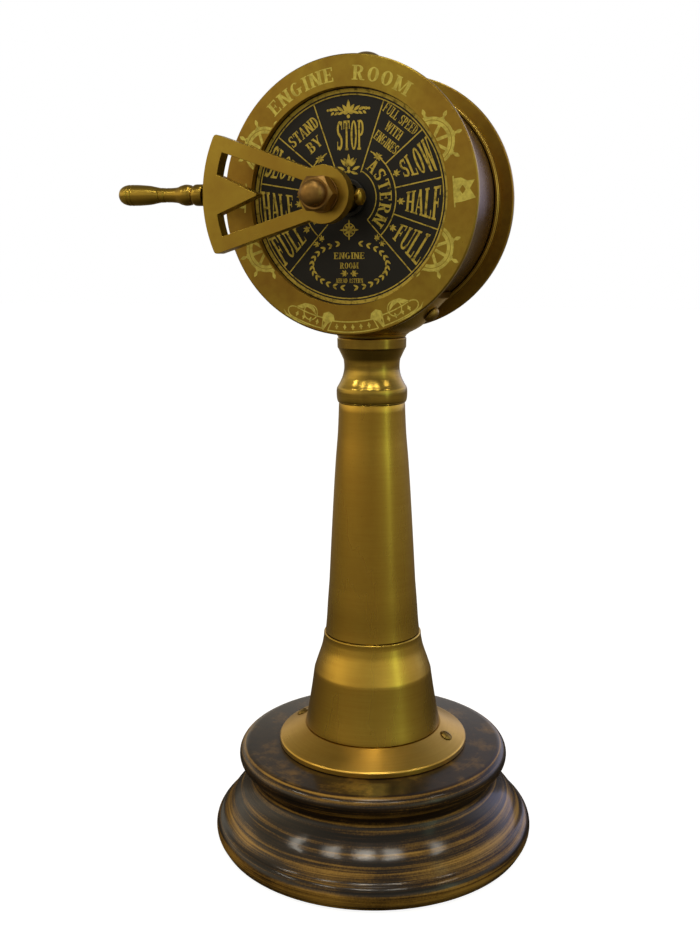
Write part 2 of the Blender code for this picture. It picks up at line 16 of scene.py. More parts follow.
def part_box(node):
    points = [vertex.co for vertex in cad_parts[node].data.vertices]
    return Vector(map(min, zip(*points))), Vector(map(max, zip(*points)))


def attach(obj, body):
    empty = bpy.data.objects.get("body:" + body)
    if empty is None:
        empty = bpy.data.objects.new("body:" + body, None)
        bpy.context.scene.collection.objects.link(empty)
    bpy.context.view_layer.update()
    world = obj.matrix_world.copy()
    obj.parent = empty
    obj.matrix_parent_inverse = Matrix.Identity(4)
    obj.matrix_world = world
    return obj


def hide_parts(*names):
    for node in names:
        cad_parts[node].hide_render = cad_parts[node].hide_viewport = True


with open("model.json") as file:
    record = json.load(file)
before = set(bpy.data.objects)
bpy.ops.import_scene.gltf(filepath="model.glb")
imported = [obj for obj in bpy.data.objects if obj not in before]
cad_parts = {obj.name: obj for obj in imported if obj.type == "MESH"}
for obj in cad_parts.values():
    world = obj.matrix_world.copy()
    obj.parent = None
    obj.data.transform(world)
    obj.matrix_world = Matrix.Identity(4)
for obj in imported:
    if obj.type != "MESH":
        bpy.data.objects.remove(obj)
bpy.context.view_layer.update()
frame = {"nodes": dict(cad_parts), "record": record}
MM = 0.001

# Heights above the floor, and distances from the shaft's middle along it and out from it, in millimetres.
HEAD_Z = (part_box("drum_shell")[0].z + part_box("drum_shell")[1].z) / 2 / MM
PLATE_FACE = -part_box("front_plate")[0].y / MM
PLATE_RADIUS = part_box("front_plate")[1].x / MM
DIAL_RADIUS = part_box("front_dial")[1].x / MM
DIAL_FACE = -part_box("front_dial")[0].y / MM
DIAL_BACK = -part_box("front_dial")[1].y / MM
LEVER_FACE = -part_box("front_lever")[0].y / MM
LEVER_BACK = LEVER_FACE - 5.9
LEVER_ANGLE = 88.5


# ---------------------------------------------------------------- meshes

def polar(angle, r=1.0):
    """A point at a radius, with its angle clockwise from the top."""
    a = math.radians(angle)
    return r * math.sin(a), r * math.cos(a)


def arc(x, y, radius, start, end, count):
    """Points on an arc round (x, y), from start to end in degrees, counterclockwise from +X."""
    turns = [math.radians(start + (end - start) * i / count) for i in range(count + 1)]
    return [(x + radius * math.cos(a), y + radius * math.sin(a)) for a in turns]


def smooth(steps, *points):
    """A Catmull-Rom curve through the points."""
    knots = [Vector(point) for point in (points[0], *points, points[-1])]
    out = []
    for p0, p1, p2, p3 in zip(knots, knots[1:], knots[2:], knots[3:]):
        for t in (s / steps for s in range(steps)):
            cubic = (3 * p1 - p0 - 3 * p2 + p3) * t ** 3
            out.append(tuple((2 * p1 + (p2 - p0) * t + (2 * p0 - 5 * p1 + 4 * p2 - p3) * t * t + cubic) / 2))
    return out + [points[-1]]


def shift(x, y, z):
    return Matrix.Translation((x * MM, y * MM, z * MM))


def spin(degrees, axis):
    return Matrix.Rotation(math.radians(degrees), 4, axis)


def written(shape, mesh):
    """Writes a bmesh into a mesh and frees it."""
    shape.to_mesh(mesh)
    shape.free()
    return mesh


def linked(name, data):
    """A new object in the scene."""
    obj = bpy.data.objects.new(name, data)
    bpy.context.scene.collection.objects.link(obj)
    return obj


def evaluated(obj):
    return bpy.data.meshes.new_from_object(obj.evaluated_get(bpy.context.evaluated_depsgraph_get()))


def lathe(name, outline, segments, closed=False):
    """A solid of revolution about Z. The outline runs down the outer side, top to bottom."""
    shape = bmesh.new()
    turns = [2 * math.pi * i / segments for i in range(segments)]
    rings = []
    for r, z in outline:
        r, z = r * MM, z * MM
        ring = [(r * math.cos(a), r * math.sin(a), z) for a in turns] if r > 1e-7 else [(0, 0, z)]
        rings.append([shape.verts.new(point) for point in ring])
    for upper, lower in zip(rings, rings[1:] + (rings[:1] if closed else [])):
        for i in range(segments):
            j = (i + 1) % segments
            corners = upper[i % len(upper)], lower[i % len(lower)], lower[j % len(lower)], upper[j % len(upper)]
            unique = list(dict.fromkeys(corners))
            if len(unique) > 2:
                shape.faces.new(unique)
    bmesh.ops.recalc_face_normals(shape, faces=shape.faces)
    return written(shape, bpy.data.meshes.new(name))


def plate(name, outlines, low, high):
    """A flat plate between two heights from closed outlines, inner ones being holes."""
    curve = bpy.data.curves.new(name + "_outline", "CURVE")
    curve.dimensions = "2D"
    curve.fill_mode = "BOTH"
    curve.extrude = (high - low) / 2 * MM
    for outline in outlines:
        spline = curve.splines.new("POLY")
        spline.points.add(len(outline) - 1)
        for point, (x, y) in zip(spline.points, outline):
            point.co = (x * MM, y * MM, 0, 1)
        spline.use_cyclic_u = True
    source = linked(name + "_source", curve)
    mesh = evaluated(source)
    bpy.data.objects.remove(source, do_unlink=True)
    bpy.data.curves.remove(curve)
    mesh.materials.clear()
    mesh.name = name
    shape = bmesh.new()
    shape.from_mesh(mesh)
    bmesh.ops.remove_doubles(shape, verts=shape.verts, dist=0.000002)
    bmesh.ops.dissolve_limit(shape, angle_limit=math.radians(1), verts=shape.verts, edges=shape.edges)
    bmesh.ops.transform(shape, matrix=shift(0, 0, (low + high) / 2), verts=shape.verts)
    bmesh.ops.recalc_face_normals(shape, faces=shape.faces)
    return written(shape, mesh)


def bevelled(obj, width, angle, segments=3):
    made = obj.modifiers.new("edges", "BEVEL")
    made.width = width * MM
    made.segments = segments
    made.limit_method = "ANGLE"
    made.angle_limit = math.radians(angle)
    made.harden_normals = True


def show(name, mesh, slot, node, place=None, bevel=0.0, angle=35, look=None, body="stand"):
    """Puts a piece in the scene, riding on a CAD body and standing for a CAD node."""
    obj = linked(name, mesh)
    mesh.materials.clear()
    mesh.materials.append(LOOKS[look or slot])
    if place is not None:
        obj.matrix_world = place
    mesh.shade_smooth()
    if bevel:
        bevelled(obj, bevel, angle)
    else:
        mesh.set_sharp_from_angle(angle=math.radians(angle))
    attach(obj, body)
    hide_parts(node)
    return obj


def turn(name, outline, slot, node, segments, closed=True, **how):
    """Shows a piece turned from an outline. An outline that isn't closed starts and ends on the axis."""
    return show(name, lathe(name + "_body", outline, segments, closed), slot, node, **how)


def cut(obj, mesh, operation="DIFFERENCE"):
    """Applies an exact Boolean with a helper mesh, in the object's own coordinates, before its other modifiers."""
    helper = linked("cutter", mesh)
    helper.matrix_world = obj.matrix_world
    others = list(obj.modifiers)
    modifier = obj.modifiers.new("cut", "BOOLEAN")
    modifier.operation = operation
    modifier.object = helper
    modifier.solver = "EXACT"
    for other in others:
        other.show_viewport = False
    bpy.context.view_layer.update()
    obj.data = evaluated(obj)
    for other in others:
        other.show_viewport = True
    obj.modifiers.remove(modifier)
    bpy.data.objects.remove(helper, do_unlink=True)


# ---------------------------------------------------------------- materials

class Nodes:
    """A short way to write the node tree of a material or a world. A bare one starts with no nodes."""

    def __init__(self, name, world=False, bare=False):
        self.owner = bpy.data.worlds.new(name) if world else bpy.data.materials.new(name)
        self.owner.use_nodes = True
        self.tree = self.owner.node_tree
        if bare:
            self.tree.nodes.clear()
        self.coords = self.node("TexCoord").outputs["Generated" if world else "Object"]

    def fill(self, socket, value):
        if isinstance(value, bpy.types.NodeSocket):
            self.tree.links.new(value, socket)
        else:
            socket.default_value = value

    def node(self, kind, *values, **settings):
        """A node with its settings, its first inputs filled from the values."""
        made = self.tree.nodes.new("ShaderNode" + kind)
        for key, value in settings.items():
            setattr(made, key, value)
        for socket, value in zip(made.inputs, values):
            self.fill(socket, value)
        return made

    def put(self, made, **values):
        """Fills a node's inputs by name."""
        for key, value in values.items():
            self.fill(made.inputs[key.replace("_", " ")], value)
        return made

    def set(self, **values):
        self.put(self.tree.nodes["Principled BSDF"], **values)
        return self.owner

    def math(self, operation, *values):
        return self.node("Math", *values, operation=operation).outputs[0]

    def scaled(self, scale):
        return self.node("VectorMath", self.coords, scale, operation="MULTIPLY").outputs[0]

    def noise(self, scale, detail=3.0, rough=0.55, **more):
        made = self.node("TexNoise", noise_dimensions="4D" if "W" in more else "3D")
        values = {"Vector": self.coords, "Scale": scale, "Detail": detail, "Roughness": rough, **more}
        return self.put(made, **values).outputs["Fac"]

    def rings(self, along, across, detail):
        """Noise that runs round a turned piece: long in the turning direction, fine across it."""
        x, y, z = self.node("SeparateXYZ", self.coords).outputs
        radius = self.math("SQRT", self.math("ADD", self.math("MULTIPLY", x, x), self.math("MULTIPLY", y, y)))
        safe = self.math("MAXIMUM", radius, 0.0005)
        a, b = (self.math("MULTIPLY", self.math("DIVIDE", part, safe), along) for part in (x, y))
        vector = self.node("CombineXYZ", a, b, self.math("MULTIPLY", z, across)).outputs[0]
        return self.noise(1.0, detail, 0.6, Vector=vector, W=self.math("MULTIPLY", radius, across))

    def ramp(self, value, *stops):
        """Maps a number through (position, colour or grey) stops."""
        made = self.node("ValToRGB", value)
        elements = made.color_ramp.elements
        while len(elements) < len(stops):
            elements.new(0.5)
        for element, (position, colour) in zip(elements, stops):
            element.position = position
            element.color = (*colour, 1) if isinstance(colour, tuple) else (colour, colour, colour, 1)
        return made.outputs[0]

    def mix(self, factor, a, b, blend="MIX"):
        made = self.node("Mix", factor, data_type="RGBA", blend_type=blend)
        for socket, value in ((made.inputs[6], a), (made.inputs[7], b)):
            self.fill(socket, (*value, 1) if isinstance(value, tuple) else value)
        return made.outputs[2]

    def bump(self, height, strength, distance, **under):
        made = self.put(self.node("Bump"), Height=height, Strength=strength, Distance=distance, **under)
        return made.outputs["Normal"]

    def split(self, lit, seen, output):
        """Ends the tree: one shader for light and reflections, another for the camera's own view."""
        camera = self.node("LightPath").outputs["Is Camera Ray"]
        mixed = self.node("MixShader", camera, lit.outputs[0], seen.outputs[0])
        self.node(output, mixed.outputs[0])


def worn_brass(name, bright, dull, stain, roughness, turned=False, patch=26.0):
    """Aged brass: patches of tarnish, dark specks, faint rubs and fine scratches."""
    n = Nodes(name)
    spread = n.scaled((1, 1, 0.28)) if turned else n.coords
    colour = n.mix(n.ramp(n.noise(patch, 2.5, 0.5, Vector=spread), (0.30, 0.0), (0.70, 1.0)), dull, bright)
    clouds = n.noise(patch * 2.7, 3.0, 0.5, Vector=spread)
    colour = n.mix(n.ramp(clouds, (0.46, 0.0), (0.86, 0.55)), colour, stain)
    lines = n.rings(1.4, 1500.0, 2.0) if turned else n.noise(1.0, 3.0, 0.6, Vector=n.scaled((300, 300, 2600)))
    colour = n.mix(n.ramp(lines, (0.35, 0.22), (0.60, 0.0)), colour, stain)
    specks = n.noise(700.0, 2.0, 0.5)
    colour = n.mix(n.ramp(specks, (0.72, 0.0), (0.80, 0.4)), colour, tuple(c * 0.25 for c in stain))
    rough = n.ramp(clouds, (0.30, roughness * 0.85), (0.75, min(1.0, roughness * 1.3)))
    normal = n.bump(n.noise(60.0, 2.0), 0.02, 0.0004, Normal=n.bump(lines, 0.04, 0.00008))
    return n.set(Base_Color=colour, Metallic=1.0, Roughness=rough, Normal=normal)


def varnished_wood():
    """Turned dark wood under gloss varnish, with thin rings and lighter bands on its edges: partly stain rubbed
    through, partly a painted highlight where the rounds catch the light.
    """
    n = Nodes("varnished_dark_wood")
    fine = n.rings(2.2, 1700.0, 3.0)
    z = n.node("SeparateXYZ", n.coords).outputs["Z"]
    rub = 0.0
    # The height of each lighter edge band (rubbed stain and painted highlight), how far it reaches and how strong
    # it is.
    for middle, reach, share in ((46.2, 0.9, 1.0), (37.0, 1.5, 0.7), (29.2, 1.6, 0.9), (16.0, 2.5, 1.2),
                                 (6.0, 6.2, 1.15)):
        off = n.math("ABSOLUTE", n.math("SUBTRACT", z, middle * MM))
        edge = n.math("MAXIMUM", n.math("SUBTRACT", 1.0, n.math("DIVIDE", off, reach * MM)), 0.0)
        rub = n.math("MAXIMUM", rub, n.math("MULTIPLY", edge, share))
    # rub holds the lighter edge bands: partly worn stain, partly painted highlight on the convex rounds.
    grain = n.math("MULTIPLY", rub, 0.125)
    patches = n.math("SUBTRACT", n.noise(26.0, 3.0), 0.5)
    crumbs = n.noise(1300.0, 2.0, 0.6)
    for part, share in ((n.rings(0.42, 560.0, 4.0), 0.60), (fine, 0.28), (crumbs, 0.12), (patches, 0.30)):
        grain = n.math("MULTIPLY_ADD", part, share, grain)
    # The flat top is mottled instead of ringed.
    above = n.math("DIVIDE", n.math("SUBTRACT", z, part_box("wood_base")[1].z - 0.5 * MM), 0.4 * MM)
    flat = n.math("MINIMUM", n.math("MAXIMUM", above, 0.0), 0.85)
    mottle = n.math("MULTIPLY_ADD", n.noise(70.0, 4.0, 0.65), 0.46, 0.262)
    ringed = n.math("MULTIPLY", grain, n.math("SUBTRACT", 1.0, flat))
    colour = n.ramp(
        n.math("MULTIPLY_ADD", mottle, flat, ringed),
        (0.44, (0.0050, 0.0030, 0.0018)),
        (0.52, (0.026, 0.013, 0.004)),
        (0.585, (0.150, 0.080, 0.013)),
        (0.69, (0.400, 0.225, 0.040)),
    )
    return n.set(
        Base_Color=colour, Metallic=0.0, Roughness=0.5, Normal=n.bump(fine, 0.10, 0.0002), Coat_Weight=0.85,
        Coat_Roughness=0.15, Coat_IOR=1.4, Specular_IOR_Level=0.15
    )


def steel():
    n = Nodes("oiled_steel")
    colour = n.mix(n.noise(120.0, 4.0), (0.30, 0.30, 0.31), (0.50, 0.50, 0.51))
    lines = n.rings(1.0, 1800.0, 3.0)
    return n.set(Base_Color=colour, Metallic=1.0, Roughness=0.35, Normal=n.bump(lines, 0.15, 0.0002))


def felt():
    n = Nodes("green_felt")
    fibres = n.noise(2200.0, 4.0, 0.7)
    colour = n.mix(fibres, (0.010, 0.035, 0.017), (0.045, 0.120, 0.060))
    return n.set(Base_Color=colour, Roughness=0.95, Sheen_Weight=0.6, Normal=n.bump(fibres, 0.6, 0.0005))


def black_lacquer():
    n = Nodes("dial_black_lacquer")
    dust = n.noise(1500.0, 3.0, 0.6)
    clouds = n.noise(45.0, 4.0, 0.6)
    colour = n.mix(n.ramp(clouds, (0.35, 0.0), (0.8, 1.0)), (0.0040, 0.0040, 0.0040), (0.0090, 0.0084, 0.0070))
    colour = n.mix(n.ramp(dust, (0.72, 0.0), (0.82, 0.25)), colour, (0.10, 0.09, 0.06))
    rough = n.ramp(clouds, (0.3, 0.42), (0.8, 0.58))
    return n.set(Base_Color=colour, Roughness=rough, Specular_IOR_Level=0.36, Normal=n.bump(dust, 0.08, 0.0002))


def print_gold(name, bright, dark, wear):
    """Printed gold, a little rubbed away in places."""
    n = Nodes(name)
    rub = n.noise(420.0, 4.0, 0.65)
    colour = n.mix(n.ramp(rub, (0.34, 1.0), (0.34 + wear, 0.0)), bright, dark)
    normal = n.bump(rub, 0.08, 0.0002)
    return n.set(Base_Color=colour, Metallic=0.5, Roughness=0.55, Specular_IOR_Level=0.3, Normal=normal)


# Bright, dull and stained colours, roughness, whether the piece is turned, and the scale of the patches.
BRASS = {
    "column_brass": ((0.60, 0.43, 0.075), (0.52, 0.33, 0.050), (0.42, 0.22, 0.03), 0.27, True),
    "flange_brass": ((0.66, 0.43, 0.085), (0.58, 0.36, 0.065), (0.48, 0.26, 0.04), 0.30, True),
    # The neck's brass is a darker copy of the column's: painted shade under the head.
    "neck_brass": ((0.50, 0.36, 0.065), (0.33, 0.21, 0.038), (0.17, 0.09, 0.02), 0.22, True, 60.0),
    "plate_brass": ((0.370, 0.272, 0.040), (0.31, 0.175, 0.028), (0.18, 0.080, 0.018), 0.38, False, 19.0),
    "lever_brass": ((0.42, 0.30, 0.046), (0.34, 0.225, 0.034), (0.30, 0.17, 0.03), 0.30),
    # The drum's very dark brass is painted shade: it stands in for the shade and dark reflections between the two
    # plates.
    "drum_brass": ((0.20, 0.130, 0.062), (0.13, 0.080, 0.042), (0.09, 0.045, 0.02), 0.26),
    "nut_brass": ((0.36, 0.215, 0.066), (0.27, 0.155, 0.045), (0.17, 0.085, 0.02), 0.36),
    "screw_brass": ((0.40, 0.27, 0.065), (0.26, 0.17, 0.040), (0.12, 0.07, 0.02), 0.40),
    "machined_brass": ((0.72, 0.52, 0.110), (0.60, 0.41, 0.080), (0.46, 0.28, 0.05), 0.28),
}
LOOKS = {name: worn_brass(name, *values) for name, values in BRASS.items()}
LOOKS.update(
    pointer_brass=LOOKS["lever_brass"],
    bright_brass=LOOKS["machined_brass"],
    dark_wood=varnished_wood(),
    steel=steel(),
    green_felt=felt(),
    dial_black=black_lacquer(),
    dial_print=print_gold("dial_gold_print", (0.62, 0.48, 0.085), (0.20, 0.15, 0.03), 0.16),
    plate_print=print_gold("plate_pale_print", (0.70, 0.62, 0.130), (0.48, 0.40, 0.08), 0.25),
)


# ---------------------------------------------------------------- base and column

def make_base():
    low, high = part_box("wood_base")
    top, bottom = high.z / MM, low.z / MM
    outline = [(5, top)] + arc(59.1, top - 5, 5, 90, -38, 14)
    outline += smooth(4, (62.6, 38.2), (60.4, 36.9), (58.9, 34.6), (58.4, 32.4), (58.9, 30.3), (59.9, 28.5))
    outline += smooth(3, (61.5, 26.1), (63.3, 23.95), (65.35, 21.75), (67.3, 19.65), (69.1, 17.35),
                      (70.6, 15.2), (71.55, 13.7))
    outline += arc(69.6, 6.6, 6.4, 62, -40, 14) + [(74, bottom), (13, bottom), (13, 12), (5, 12)]
    turn("turned_wood_base", outline, "dark_wood", "wood_base", 192, bevel=0.25, angle=24)


def make_flange():
    low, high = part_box("foot_flange")
    rim = high.x / MM
    outline = [(4, 55.6), (32.6, 55.6), (33.4, 55.2), (rim - 0.5, 49.7), (rim, 49.1), (rim, low.z / MM)]
    outline += [(38.5, 47.0), (38.0, 49.4), (31.0, 52.6), (4.0, 52.6)]
    outline = [(r, min(z, high.z / MM)) for r, z in outline]
    turn("foot_flange_ring", outline, "column_brass", "foot_flange", 160, look="flange_brass", bevel=0.2, angle=20)


def make_column():
    bell = [(22.6, 100.9), (22.95, 100.5), (23.0, 99.6)]
    bell += smooth(5, (23.1, 98.2), (23.9, 94.1), (25.1, 90.3), (26.4, 86.6), (27.6, 82.9))
    bell += smooth(4, (27.75, 82.3), (28.9, 74.2), (30.4, 65.0), (32.0, 56.6))
    bell += [(32.1, 55.9), (28.6, 55.9), (25.2, 77.0), (15.6, 96.0), (15.6, 104.5), (18.2, 104.5), (18.4, 100.9)]
    turn("lower_column_bell", bell, "column_brass", "column_bell", 160, bevel=0.15)
    tube = [(14.9, 209.6), (15.1, 209.2)]
    tube += smooth(3, (15.2, 206.0), (15.7, 195.5), (16.6, 185.0), (17.5, 172.5), (18.5, 156.0), (19.3, 142.0))
    tube += smooth(3, (20.2, 125.5), (20.9, 117.0), (21.6, 107.0), (22.1, 102.0))
    tube += [(22.2, 101.2), (19.0, 101.2), (17.4, 125.0), (12.4, 206.0), (12.4, 209.6)]
    turn("upper_column_tube", tube, "column_brass", "column_tube", 160, bevel=0.15)
    neck = [(15.2, 239.1), (15.6, 238.7), (15.5, 234.6)]
    neck += smooth(4, (15.1, 234.1), (14.3, 232.4), (13.45, 230.6), (12.8, 229.0), (12.55, 226.5), (12.6, 224.6))
    neck += smooth(3, (12.9, 223.0), (13.4, 221.3), (14.1, 219.7), (14.9, 218.1), (15.5, 217.1))
    neck += smooth(4, (15.9, 216.4), (16.1, 214.8), (16.05, 212.6), (15.8, 210.8), (15.4, 209.9))
    neck += [(12.1, 209.9), (12.1, 205.9), (3.4, 205.9), (3.4, 239.1)]
    # The neck gets the darker copy of the column brass, painted shade under the head.
    turn("neck_collar_turned", neck, "column_brass", "neck_collar", 160, look="neck_brass", bevel=0.2, angle=24)


def slotted(node, place, head, shank, length):
    """A screw with a slot across its head, from the head's curve and the shank's radius and length."""
    outline = head + [(shank, 0), (shank, -length), (0, -length)]
    place = place @ shift(0, 0, 0.25)
    screw = turn("slotted_" + node, outline, "screw_brass", node, 40, False, place=place, bevel=0.12)
    slot = bmesh.new()
    size = Matrix.Diagonal((30 * MM, 0.8 * MM, 1.3 * MM, 1.0))
    bmesh.ops.create_cube(slot, size=1.0, matrix=shift(0, 0, head[0][1]) @ size)
    cut(screw, written(slot, bpy.data.meshes.new("slot")))


def make_screws():
    sides = (1, "right"), (-1, "left")
    slope = math.atan2(6.3, 12.65)
    height = 55.6 - (37.0 - 32.4) * math.tan(slope)
    for side, hand in sides:
        head = smooth(3, (0, 1.3), (1.2, 1.2), (2.1, 0.85), (2.8, 0.3), (3.0, 0))
        place = shift(side * 37.0, 0, height) @ spin(side * math.degrees(slope), "Y")
        slotted("flange_screw_" + hand, place, head, 1.6, 12.9)
    for side, hand in sides:
        head = smooth(4, (0, 2.8), (1.6, 2.65), (2.9, 2.0), (3.65, 0.9), (3.8, 0))
        place = shift(side * 27.8, 0, HEAD_Z - 48.7) @ spin(side * 131.5, "Y")
        slotted("saddle_screw_" + hand, place, head, 1.7, 9.4)


# ---------------------------------------------------------------- head

def face_place(side):
    """The matrix of a dial's own plane: X right, Y up, Z out of the dial."""
    return shift(0, 0, HEAD_Z) @ spin(180 if side == "rear" else 0, "Z") @ spin(90, "X")


def lever_place(side):
    """The dial's plane, turned so that Y points along the lever."""
    return face_place(side) @ spin(LEVER_ANGLE if side == "front" else -LEVER_ANGLE, "Z")


def make_saddle():
    x, y = polar(138.5, 62)
    wedge = plate("saddle_wedge", [[(0, -20), (x, y), (x, -70), (-x, -70), (-x, y)]], -26.4, 26.4)
    saddle = show("drum_saddle_cup", wedge, "column_brass", "drum_saddle", face_place("front"))
    foot = HEAD_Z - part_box("drum_saddle")[0].z / MM
    cup = [(0, -32), (44, -32)]
    cup += smooth(4, (35.4, -41.0), (30.6, -45.6), (26.0, -50.6), (22.8, -54.0), (20.0, -55.8), (17.2, -57.2))
    cup += [(15.7, -58.3), (15.3, -foot), (0, -foot)]
    cone = lathe("saddle_cone", cup, 160)
    cone.transform(spin(-90, "X"))
    cut(saddle, cone, "INTERSECT")
    clear, body, edge, far = 51.4, 50.2, 21.1, 40
    bed = [(0, far), (clear, far), (clear, edge), (body, edge), (body, -edge), (clear, -edge),
           (clear, -far), (0, -far)]
    cut(saddle, lathe("saddle_bed", bed, 160))
    bevelled(saddle, 0.35, 40, 2)


def make_drum():
    radius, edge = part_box("drum_shell")[1].x / MM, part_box("drum_shell")[1].y / MM
    outline = [(radius, edge), (radius, -edge), (radius - 1.7, -edge), (radius - 1.7, edge)]
    # The drum barrel's dark brass is painted shade between the plates.
    turn("drum_barrel", outline, "drum_brass", "drum_shell", 192, place=face_place("front"), bevel=0.1)
    low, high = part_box("vent_cap")
    top, bottom, seat = high.z / MM, low.z / MM, HEAD_Z + 50.5
    cap = arc(0, top - 10, 10, 90, 47, 8) + [(7.5, top - 3.6), (7.5, top - 4.6)]
    cap += smooth(3, (5.6, top - 5.2), (4.3, top - 5.9), (4.2, seat + 2.2))
    cap += [(6.4, seat + 1.2), (6.4, seat), (2, seat), (2, bottom), (0, bottom)]
    place = shift(0, (low.y + high.y) / 2 / MM, 0)
    turn("drum_top_cap", cap, "column_brass", "vent_cap", 96, False, place=place, bevel=0.2, look="lever_brass")


def make_plate(side):
    """The bezel plate with two beads round its skirt, and the dial in it."""
    node, place = side + "_plate", face_place(side)
    face, back, lip = PLATE_FACE, 27.0, DIAL_FACE + 0.3
    outline = [(PLATE_RADIUS - 0.5, face), (PLATE_RADIUS, face - 0.5), (PLATE_RADIUS, back + 0.4)]
    outline += [(PLATE_RADIUS - 0.4, back), (51.1, back), (51.1, 24.0), (50.75, 23.7), (51.1, 23.4), (51.1, 21.4)]
    outline += [(50.2, 21.4), (50.2, back), (46.6, back), (46.6, lip), (44.2, lip), (44.2, face)]
    turn(side + "_bezel_plate", outline, "plate_brass", node, 192, place=place, bevel=0.12)
    for number, z in ((1, 21.75), (2, 24.3)):
        bead = arc(50.95, z, 0.34, 0, 330, 11)[::-1]
        name = "%s_skirt_bead_%d" % (side, number)
        turn(name, bead, "plate_brass", node, 192, place=place, look="machined_brass")
    hole = 7.1
    disc = [(DIAL_RADIUS, DIAL_FACE), (DIAL_RADIUS, DIAL_BACK), (hole, DIAL_BACK), (hole, DIAL_FACE)]
    turn(side + "_dial_disc", disc, "dial_black", side + "_dial", 160, place=place)


def rounded_corner(points, index, radius, steps=4):
    """The points of a curve that replaces one corner of an outline."""
    near = [points[(index + k) % len(points)] for k in (-1, 0, 1)]
    before, corner, after = (Vector((x * MM, y * MM)) for x, y in near)
    start = corner + (before - corner).normalized() * (radius * MM)
    end = corner + (after - corner).normalized() * (radius * MM)
    times = [i / steps for i in range(steps + 1)]
    curve = [start * (1 - t) ** 2 + corner * 2 * t * (1 - t) + end * t * t for t in times]
    return [(x / MM, y / MM) for x, y in curve]


def make_lever(side):
    """The lever's frame, its boss, its grip, and the washer under the nut that clamps it on the shaft."""
    node = side + "_lever"
    how = {"place": lever_place(side), "body": "lever_gear"}
    half, outer_r, inner_r = 26.6, 53.9, 47.8
    outer = arc(0, 0, outer_r, 90 - half, 90 + half, 48)
    hub = arc(0, 0, 11.4, 152, 388, 48)
    outline = rounded_corner(outer + hub, 0, 1.5) + outer[2:-2]
    outline += rounded_corner(outer + hub, len(outer) - 1, 1.5) + hub
    tongue = math.degrees(math.asin(8.0 / inner_r))
    inset = math.degrees(5.1 / inner_r)
    window = arc(0, 0, inner_r, 90 - half + inset, 90 - tongue, 12) + [(0.5, 29.2), (0, 29.0), (-0.5, 29.2)]
    window += arc(0, 0, inner_r, 90 + tongue, 90 + half - inset, 12) + arc(0, 0, 10, 123, 57, 16)
    bore = arc(0, 0, 3.4, 0, 352.5, 47)
    mesh = plate(node + "_body", [outline, window, bore], LEVER_BACK, LEVER_FACE)
    show(node + "_frame", mesh, "lever_brass", node, bevel=0.45, angle=30, **how)
    boss = [(7.0, 48.2), (7.0, 39.8), (6.8, 39.6), (3.4, 39.6), (3.4, 48.2)]
    # The boss takes the darker screw brass: painted shade in the gap between the lever and the dial.
    turn(node + "_boss", boss, "lever_brass", node, 96, bevel=0.2, look="screw_brass", **how)
    grip = [(0, 95.85), (0.9, 95.75)] + smooth(3, (1.9, 95.5), (3.0, 94.8), (3.9, 93.3), (4.3, 91.6))
    grip += [(4.35, 91.0), (4.0, 90.7), (4.0, 90.3), (4.35, 90.0), (4.38, 89.1), (4.0, 88.8), (4.0, 88.4),
             (4.36, 88.1)]
    grip += smooth(4, (4.3, 86.0), (3.95, 81.0), (3.4, 77.8), (3.12, 76.1))
    grip += [(2.65, 75.8), (2.65, 75.4), (3.05, 75.1), (2.98, 73.4), (2.6, 73.1), (2.6, 72.7), (2.95, 72.4)]
    grip += smooth(3, (2.95, 70.5), (3.1, 68.2), (3.3, 66.8)) + smooth(4, (3.9, 65.4), (4.35, 63.2), (4.1, 61.0))
    grip += [(3.6, 60.4), (3.4, 59.9), (3.7, 59.3), (4.3, 58.6), (4.4, 58.0), (4.4, 55.2), (4.1, 54.5)]
    grip += [(1.5, 54.4), (1.5, 49.3), (0, 49.3)]
    along = lever_place(side) @ shift(0, 0, (LEVER_BACK + LEVER_FACE) / 2) @ spin(-90, "X")
    turn(side + "_turned_grip", grip, "lever_brass", side + "_handle", 72, False, place=along, body="lever_gear")
    low = LEVER_FACE + 0.3
    ring = [(7.2, low + 0.8), (7.2, low), (3.4, low), (3.4, low + 0.8)]
    turn(node + "_washer", ring, "lever_brass", side + "_washer", 96, bevel=0.15, look="nut_brass", **how)


def make_cap_nut(side):
    """A hexagon with chamfered corners and a blunt dome."""
    node = side + "_cap_nut"
    how = {"place": lever_place(side) @ spin(90, "Z"), "body": "lever_gear"}
    low = LEVER_FACE + 1.4
    high = low + 6.2
    blank = [(0, high), (7.6, high), (7.6, low), (0, low)]
    nut = turn(node + "_hex", blank, "nut_brass", node, 6, False, bevel=0.3, **how)
    chamfer = [(0, high), (6.0, high), (7.7, high - 1.3), (7.7, low + 0.5), (7.0, low), (0, low)]
    cut(nut, lathe("nut_chamfer", chamfer, 96), "INTERSECT")
    dome = ((0, 11.2), (2.4, 10.9), (4.1, 10.0), (5.0, 8.6), (5.3, 6.6), (5.3, 5.2))
    dome = smooth(5, *((r, low + z) for r, z in dome)) + [(0, low + 5.2)]
    turn(node + "_dome", dome, "nut_brass", node, 96, False, **how)


